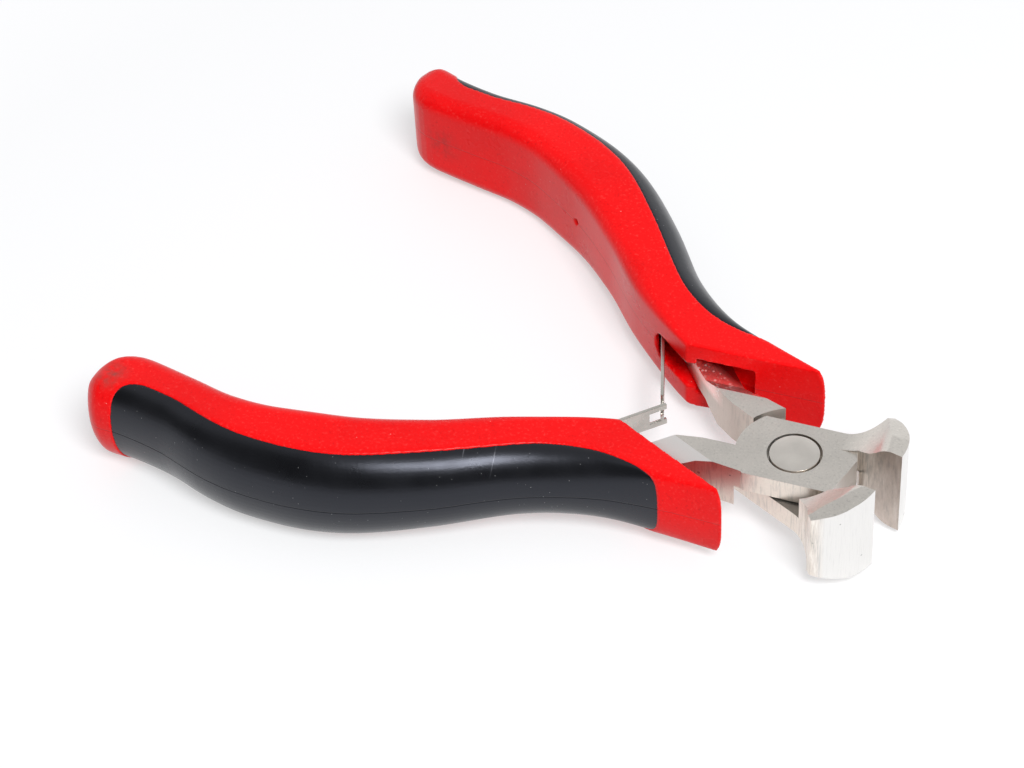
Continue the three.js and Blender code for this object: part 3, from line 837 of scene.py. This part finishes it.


@made_once
def ground_steel(name):
    finishes = bpy.context.scene.pliers_finishes
    steel, bright = Vector(finishes.steel), Vector(finishes.bright_steel)
    material, tree, shader, place = finish_material(name)
    grain = place_group(tree, "Fine grain", place, Grain=3000.0, Cloud=160.0)
    marks = place_group(tree, "Grinding marks", place, Stretch=(1500.0, 9000.0, 300.0))["Height"]
    pits = place_group(tree, "Dust specks", place, Scale=700.0, Size=0.14, Share=0.14)["Mask"]
    crumb_and_glint_specks = place_group(tree, "Dust specks", place, Scale=2000.0, Size=0.4, Share=0.5)["Mask"]
    facing = axes_of(tree, tree.nodes.new("ShaderNodeTexCoord").outputs["Normal"])
    where = axes_of(tree, place)
    reach = point_maths(tree, "LENGTH", place)
    level = maths(tree, "ABSOLUTE", facing["Z"])
    upright = spread(tree, level, *UPRIGHT, 1.0, 0.0)

    # Satin all over, with bright and dark grain, and warmer on upright faces
    tone = clouded(tree, grain, steel * 0.94, steel * 1.06)
    tone = mix(tree, spread(tree, grain["Height"], 0.58, 0.72, 0.0, 0.45), tone, steel * 1.35)
    tone = mix(tree, spread(tree, grain["Height"], 0.3, 0.44, 0.5, 0.0), tone, steel * 0.66)
    tone = mix(tree, times(tree, upright, 0.6), tone, steel * WARMER)

    # Dark and bright grinding marks on upright faces, strongest on the jaws
    dark = times(tree, upright, spread(tree, where["X"], *JAW_FROM, 0.45, 0.8))
    pale = times(tree, upright, spread(tree, where["X"], *JAW_FROM, 0.0, 0.75))
    tone = mix(tree, times(tree, dark, spread(tree, marks, 0.35, 0.49, 1.0, 0.0)), tone, steel * 0.58)
    tone = mix(tree, times(tree, pale, spread(tree, marks, 0.52, 0.66, 0.0, 1.0)), tone, steel * 1.34)

    # Painted highlight on the shoulders of the tangs, and pits
    shoulder_highlight = times(tree, spread(tree, level, *SHOULDER_HIGHLIGHT_LEVELS[:2], 0.0, 1.0),
                     spread(tree, level, *SHOULDER_HIGHLIGHT_LEVELS[2:], 1.0, 0.0))
    on_tang = spread(tree, where["X"], *TANG_FROM, 1.0, 0.0)
    tone = mix(tree, times(tree, shoulder_highlight, on_tang), tone, PAINTED_SHOULDER_HIGHLIGHT)
    tone = mix(tree, times(tree, upright, pits), tone, steel * 0.2)

    # Front faces of the jaws, ground bright
    front = mix(tree, spread(tree, marks, 0.32, 0.46, 0.25, 0.0), bright, bright * 0.75)
    front = mix(tree, times(tree, pits, 0.8), front, bright * 0.25)
    tone = mix(tree, spread(tree, facing["X"], *FORWARD, 0.0, 1.0), tone, front)

    # Painted shade on faces that look inwards, away from the joint
    inwards = spread(tree, times(tree, facing["Y"], where["Y"]), *INWARD, 1.0, 0.0)
    away = spread(tree, reach, *FROM_JOINT, 0.0, 0.6)
    tone = mix(tree, times(tree, times(tree, upright, inwards), away), tone, steel * PAINTED_INWARD_SHADE)

    # Tangs in the sleeves' mouths: a painted red reflection, pinkish, then painted shade, deep red, with
    # pale crumbs that are also painted glints
    own_top = times(tree, where["Y"], plus(tree, where["Z"], JOINT_TOP * MM))
    covered = times(tree, spread(tree, where["X"], *MOUTH_FROM, 1.0, 0.0),
                    spread(tree, own_top, *OWN_TOP, 0.0, 1.0))
    inside = times(tree, covered, spread(tree, reach, *IN_MOUTH, 0.0, 0.94))
    inward = plus(tree, maths(tree, "ABSOLUTE", where["Y"]), times(tree, where["X"], MOUTH_SHADE_SLOPE))
    mouth_reflection_and_shade = mix(tree, spread(tree, inward, *MOUTH_SHADE_DEPTH, 0.0, 1.0), PAINTED_PINK_REFLECTION, PAINTED_DEEP_SHADE)
    tone = mix(tree, inside, tone, mouth_reflection_and_shade)
    shallow = times(tree, inside, spread(tree, inward, *CRUMB_AND_GLINT_DEPTH, 1.0, 0.0))
    crumb_and_painted_glint = times(tree, shallow, spread(tree, crumb_and_glint_specks, 0.3, 0.6, 0.0, 1.0))
    tree.links.new(mix(tree, crumb_and_painted_glint, tone, CRUMB_AND_GLINT), shader["Base Color"])
    tree.links.new(spread(tree, crumb_and_painted_glint, 0.0, 1.0, 1.0, 0.0), shader["Metallic"])
    tree.links.new(drifting(tree, grain, 0.30, 0.40), shader["Roughness"])
    relief(tree, shader, plus(tree, grain["Height"], marks), 0.00003, 0.35)
    return material


@made_once
def turned_steel(name):
    steel = Vector(bpy.context.scene.pliers_finishes.steel)
    material, tree, shader, place = finish_material(name)
    grain = place_group(tree, "Fine grain", place, Grain=2800.0, Cloud=260.0)
    tree.links.new(clouded(tree, grain, steel * 0.98, steel * 1.12), shader["Base Color"])
    tree.links.new(drifting(tree, grain, 0.28, 0.38), shader["Roughness"])
    shader["Metallic"].default_value = 1.0
    relief(tree, shader, grain["Height"], 0.00003, 0.25)
    return material


@made_once
def strip_steel(name):
    steel = Vector(bpy.context.scene.pliers_finishes.spring)
    material, tree, shader, place = finish_material(name)
    grain = place_group(tree, "Fine grain", place, Grain=2400.0, Cloud=320.0)
    marks = place_group(tree, "Grinding marks", place, Stretch=(900.0, 900.0, 9000.0))["Height"]
    tree.links.new(clouded(tree, grain, steel * 0.85, steel * 1.1), shader["Base Color"])
    tree.links.new(drifting(tree, grain, 0.2, 0.34), shader["Roughness"])
    shader["Metallic"].default_value = 1.0
    relief(tree, shader, marks, 0.00002, 0.2)
    return material


def shiny_rays(rays):
    """Rays by which shiny or clear pieces see what is round them."""
    return plus(rays.id_data, rays.outputs["Is Glossy Ray"], rays.outputs["Is Transmission Ray"])


@made_once
def white_table(name):
    """The table top: it takes the shadow, and looks near white to the camera and to shiny pieces."""
    scene = bpy.context.scene
    floor, glow = Vector(scene.pliers_finishes.floor), scene.pliers_stage.glow
    material, tree, shader, place = finish_material(name)
    grain = place_group(tree, "Fine grain", place, Grain=900.0, Cloud=6.0)
    tree.links.new(clouded(tree, grain, floor * 0.99, floor * 1.01), shader["Base Color"])
    shader["Roughness"].default_value = 0.6
    shader["Specular IOR Level"].default_value = 0.2
    rays = tree.nodes.new("ShaderNodeLightPath")
    reach = point_maths(tree, "LENGTH", place)
    near = spread(tree, reach, *NEAR_FLOOR, glow * 1.25, 0.0)
    far = spread(tree, reach, *FAR_FLOOR, glow, FLOOR_WHITE)
    seen = plus(tree, times(tree, rays.outputs["Is Camera Ray"], far), times(tree, shiny_rays(rays), near))
    shader["Emission Color"].default_value = (1.0, 1.0, 1.0, 1.0)
    tree.links.new(seen, shader["Emission Strength"])
    return material


# Operators, one for each group of like pieces
class PLIERS_OT_stage(bpy.types.Operator):
    """Lay the white table, the light and the camera"""
    bl_idname = "pliers.stage"
    bl_label = "Stage"

    def execute(self, context):
        settings = context.scene.pliers_stage
        bpy.ops.object.select_all(action="DESELECT")
        bpy.ops.mesh.primitive_plane_add(size=TABLE_SIZE, location=(0, 0, 0))
        table = context.object
        table.name = "table"
        for vert in table.data.vertices:
            vert.co.z = cad_box[0].z
        table.data.materials.append(white_table())
        self.light_all_round(context.scene, settings)
        self.light_from_above(settings)
        self.look(context.scene, settings)
        context.scene.view_settings.view_transform = "Standard"
        return {"FINISHED"}

    @staticmethod
    def light_all_round(scene, settings):
        """An even sky for light, and a room with a dark side for shiny pieces to reflect."""
        world = bpy.data.worlds.new("white_room")
        world.use_nodes = True
        tree = world.node_tree
        rays = tree.nodes.new("ShaderNodeLightPath")
        way = tree.nodes.new("ShaderNodeTexCoord").outputs["Generated"]
        back = point_maths(tree, "DOT_PRODUCT", way, LIT_SIDE)
        lit = spread(tree, back, *DARK_EDGE, settings.dark_side, 1.0)
        above = spread(tree, axes_of(tree, way)["Z"], *CEILING_EDGE, 1.0, settings.ceiling)
        room = times(tree, lit, above)
        sky = Vector((1.0, 1.0, 1.02)) * settings.sky
        around = mix(tree, shiny_rays(rays), sky, room)
        seen = mix(tree, rays.outputs["Is Camera Ray"], around, (1.0, 1.0, 1.0))
        tree.links.new(seen, tree.nodes["Background"].inputs["Color"])
        scene.world = world

    @staticmethod
    def light_from_above(settings):
        bpy.ops.object.light_add(type="AREA", location=KEY_PLACE)
        lamp = bpy.context.object
        lamp.name = "key_light"
        lamp.data.shape = "DISK"
        lamp.data.size = KEY_SIZE
        lamp.data.energy = settings.key_power
        lamp.rotation_euler = (-Vector(KEY_PLACE)).to_track_quat("-Z", "Y").to_euler()

    @staticmethod
    def look(scene, settings):
        bpy.ops.object.camera_add()
        camera = bpy.context.object
        camera.name = "camera"
        turn = Matrix((CAMERA_RIGHT, CAMERA_UP, CAMERA_RIGHT.cross(CAMERA_UP))).transposed()
        camera.matrix_world = Matrix.Translation(CAMERA_PLACE) @ turn.to_4x4()
        camera.data.lens = settings.lens
        camera.data.sensor_width = SENSOR_WIDTH
        camera.data.sensor_fit = "HORIZONTAL"
        camera.data.clip_start = 0.01
        scene.camera = camera


class PLIERS_OT_sleeves(bpy.types.Operator):
    """Mould the two red sleeves, with the slot for tang and spring and the channel for the inlay"""
    bl_idname = "pliers.sleeves"
    bl_label = "Handle sleeves"

    def execute(self, context):
        sizes = context.scene.pliers_sleeves
        sleeve = handle_blank("sleeve", sizes)
        cut(sleeve, recess(sizes, 0.0))
        self.cut_slot(sleeve, sizes)
        self.cut_gate_marks(sleeve)
        soften(sleeve, sizes.skin / MM, sizes.softness)
        both_sides(sleeve, "red_sleeve", "sleeve", red_vinyl())
        return {"FINISHED"}

    @staticmethod
    def cut_slot(sleeve, sizes):
        """Room for the tang, open along the oblique face, and for the spring, open on the inner side."""
        top = sizes.slot_height / MM / 2
        cut(sleeve, prism("tang_room", tang_outline(TANG_ROOM), -top, top))
        out = face_out(sizes)
        along = Vector((out.y, -out.x, 0))
        pocket = [nose_corner(sizes) + out * a + along * b for a, b in POCKET]
        half = sizes.pocket_height / MM / 2
        cut(sleeve, prism("pocket", [place.xy for place in pocket], -half, half))
        mouth = [(MOUTH_FRONT, -top), (MOUTH_FRONT, top)]
        turns = steps(0, math.pi, MOUTH_STEPS)
        mouth += [(MOUTH_REAR - top * math.sin(t), top * math.cos(t)) for t in turns]
        cut(sleeve, cross_prism("spring_mouth", mouth, -BEYOND, MOUTH_ROOF))
        corners = ((0, -LEAF_HALF), (LEAF_REACH, -LEAF_HALF), (LEAF_REACH, LEAF_HALF), (0, LEAF_HALF))
        for swing in map(math.radians, LEAF_TURNS):
            ahead = Vector((math.cos(swing), math.sin(swing)))
            aside = Vector((-ahead.y, ahead.x))
            room = [SPRING_PIN + ahead * a + aside * b for a, b in corners]
            cut(sleeve, prism("leaf_room", room, -top, top))
        cut(sleeve, prism("eye_room", round_outline(SPRING_PIN, EYE_ROOM), -top, top))
        cut(sleeve, prism("pin_seat", round_outline(SPRING_PIN, PIN_SEAT), -PIN_HALF, PIN_HALF))

    @staticmethod
    def cut_gate_marks(sleeve):
        """Two small dimples where the moulding gates were: one on the inner side, one in the butt."""
        wall, side = across(handle_line, WALL_GATE)
        wall -= side * (handle_width(WALL_GATE) / 2)
        butt = Vector((BUTT_GATE, handle_line(BUTT_GATE) - BUTT_GATE_IN))
        for face, inward in ((wall, side), (butt, Vector((1, 0)))):
            along = Vector((inward.y, -inward.x)) * GATE_RADIUS
            rings = []
            for reach in (-GATE_CLEAR, GATE_DEPTH):
                centre = face + inward * reach
                rings.append([Vector((*(centre + along * math.cos(t)), math.sin(t) * GATE_RADIUS))
                              for t in full_turn(GATE_STEPS)])
            cut(sleeve, loft("gate_mark", rings))


class PLIERS_OT_grip_inlays(bpy.types.Operator):
    """Mould the two soft black inlays in the outer sides of the sleeves"""
    bl_idname = "pliers.grip_inlays"
    bl_label = "Grip inlays"

    def execute(self, context):
        sizes = context.scene.pliers_sleeves
        inlay = handle_blank("inlay", sizes, -INLAY_SINK)
        cut(inlay, recess(sizes, INLAY_TUCK), "INTERSECT")
        soften(inlay, sizes.skin / MM, max(sizes.softness - 2, 0))
        both_sides(inlay, "soft_inlay", "grip_inlay", black_rubber())
        return {"FINISHED"}


class PLIERS_OT_steel_halves(bpy.types.Operator):
    """Finish the two forged halves: whole faces, rounded edges"""
    bl_idname = "pliers.steel_halves"
    bl_label = "Steel halves"

    def execute(self, context):
        for side in SIDES:
            half = node_copy(f"half_{side}", f"forged_half_{side}")
            round_edges(half, context.scene.pliers_steel.edge_round)
            dress(half, f"half_{side}", side, ground_steel())
        return {"FINISHED"}


class PLIERS_OT_pivot_rivet(bpy.types.Operator):
    """Turn the rivet, flush on both sides"""
    bl_idname = "pliers.pivot_rivet"
    bl_label = "Pivot rivet"

    def execute(self, context):
        sizes = context.scene.pliers_steel
        head = sizes.rivet_diameter / MM / 2
        shank = sizes.rivet_shank / MM / 2
        neck = JOINT_TOP - sizes.rivet_head_depth / MM
        half = [(head * 0.5, JOINT_TOP)]
        half += [(head - inset, JOINT_TOP - drop) for inset, drop in RIVET_RIM]
        half += [(head, neck), (shank, neck)]
        rivet = disc_stack("turned_rivet", half + [(radius, -height) for radius, height in half[::-1]])
        rivet.data.transform(Matrix.Translation((0, 0, -JOINT_TOP * MM)) @ Matrix.Scale(MM, 4))
        activate(rivet)
        bpy.ops.object.shade_smooth_by_angle(angle=math.radians(40))
        dress(rivet, "pivot_rivet", "lower", turned_steel())
        return {"FINISHED"}


class PLIERS_OT_leaf_springs(bpy.types.Operator):
    """Finish the two leaf springs and their pins"""
    bl_idname = "pliers.leaf_springs"
    bl_label = "Leaf springs"

    def execute(self, context):
        for kind in ("tongue", "fork"):
            leaf = node_copy(f"leaf_spring_{kind}", f"hooked_leaf_{kind}")
            round_edges(leaf, context.scene.pliers_steel.spring_edge)
            dress(leaf, f"leaf_spring_{kind}", f"{kind}_leaf", strip_steel())
        for side in SIDES:
            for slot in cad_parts[f"spring_pin_{side}"].material_slots:
                slot.material = strip_steel()
        return {"FINISHED"}


class PLIERS_PT_sidebar(bpy.types.Panel):
    """Lists what makes the pliers, with their sizes and colours"""
    bl_idname = "PLIERS_PT_sidebar"
    bl_label = "End-Cutting Pliers"
    bl_space_type = "VIEW_3D"
    bl_region_type = "UI"
    bl_category = "Pliers"

    def draw(self, context):
        for step in STEPS:
            self.layout.operator(step.bl_idname)
        for kind, (name, _) in SETTINGS.items():
            box = self.layout.box()
            box.label(text=kind)
            settings = getattr(context.scene, name)
            for label in settings.__annotations__:
                box.prop(settings, label)


SETTINGS = {
    "Sleeves": ("pliers_sleeves", SleeveSizes),
    "Steel": ("pliers_steel", SteelSizes),
    "Finishes": ("pliers_finishes", Finishes),
    "Stage": ("pliers_stage", StageSettings),
}
STEPS = (PLIERS_OT_stage, PLIERS_OT_steel_halves, PLIERS_OT_pivot_rivet, PLIERS_OT_sleeves,
         PLIERS_OT_grip_inlays, PLIERS_OT_leaf_springs)


def register():
    for name, group in SETTINGS.values():
        bpy.utils.register_class(group)
        setattr(bpy.types.Scene, name, PointerProperty(type=group))
    for step in STEPS:
        bpy.utils.register_class(step)
    bpy.utils.register_class(PLIERS_PT_sidebar)


def unregister():
    bpy.utils.unregister_class(PLIERS_PT_sidebar)
    for step in reversed(STEPS):
        bpy.utils.unregister_class(step)
    for name, group in SETTINGS.values():
        delattr(bpy.types.Scene, name)
        bpy.utils.unregister_class(group)


def main():
    register()
    bpy.ops.pliers.stage()
    bpy.ops.pliers.steel_halves()
    bpy.ops.pliers.pivot_rivet()
    bpy.ops.pliers.sleeves()
    bpy.ops.pliers.grip_inlays()
    bpy.ops.pliers.leaf_springs()


if __name__ == "__main__":
    main()
